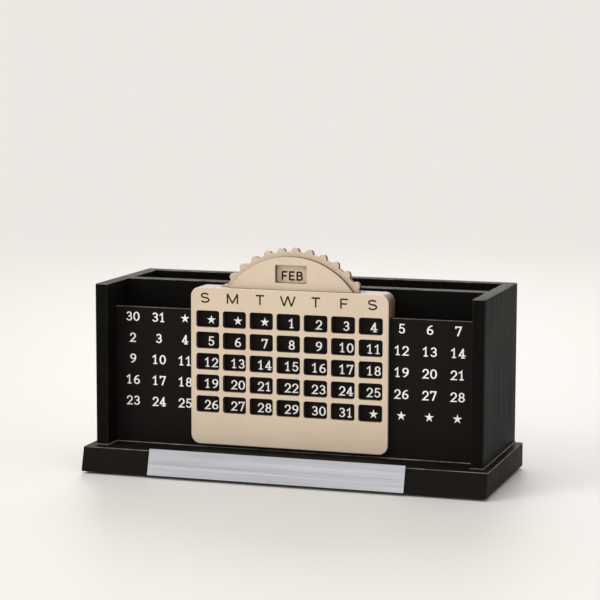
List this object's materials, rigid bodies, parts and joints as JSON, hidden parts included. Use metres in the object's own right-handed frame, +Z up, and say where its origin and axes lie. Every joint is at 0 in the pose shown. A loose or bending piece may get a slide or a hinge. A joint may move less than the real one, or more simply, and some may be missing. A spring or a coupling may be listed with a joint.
{
  "type": "desk organizer with perpetual calendar",
  "caption": "Black wooden desk organizer with a phone bay, a pen bay and a perpetual calendar: a light wooden slider with date windows and a turning month wheel.",
  "frame": {"origin": "on the surface that it stands on, under the middle of the overall box", "axes": "+X to the right along its length, +Y from the calendar side to the back, +Z up"},
  "size_m": [0.222, 0.0901, 0.1228],
  "materials": {
    "black_paint": "satin black paint on board",
    "panel_black": "matt black board with white printed dates",
    "light_wood": "fine pale board, laser cut, with browned edges",
    "brushed_metal": "brushed along its length",
    "adhesive": "double-sided foam tape",
    "plain_steel": "plain bright",
    "pad_felt": "pressed felt"
  },
  "bodies": {
    "root": {"base_board": "black_paint", "left_side_panel": "black_paint", "right_side_panel": "black_paint", "front_wall": "black_paint", "back_wall": "black_paint", "compartment_divider": "black_paint", "date_panel": "panel_black", "nameplate": "brushed_metal", "nameplate_tape": "adhesive", "base_brads": "plain_steel", "foot_pad_front_left": "pad_felt", "foot_pad_front_right": "pad_felt", "foot_pad_back_left": "pad_felt", "foot_pad_back_right": "pad_felt"},
    "slider": {"slider_front_plate": "light_wood", "slider_bridge": "light_wood", "wheel_spacer_left": "light_wood", "wheel_spacer_right": "light_wood", "slider_rear_plate": "light_wood", "pivot_post": "plain_steel", "pivot_screw": "plain_steel"},
    "month_wheel": {"month_wheel": "light_wood"}
  },
  "joints": [
    {"name": "calendar_slide", "type": "slide", "parent": "root", "child": "slider", "axis": [1, 0, 0], "range_m": [-0.0441, 0.0459]},
    {"name": "month_wheel_turn", "type": "hinge", "parent": "slider", "child": "month_wheel", "pos_m": [-0.0009, -0.01581, 0.0765], "axis": [0, 1, 0], "continuous": true}
  ]
}
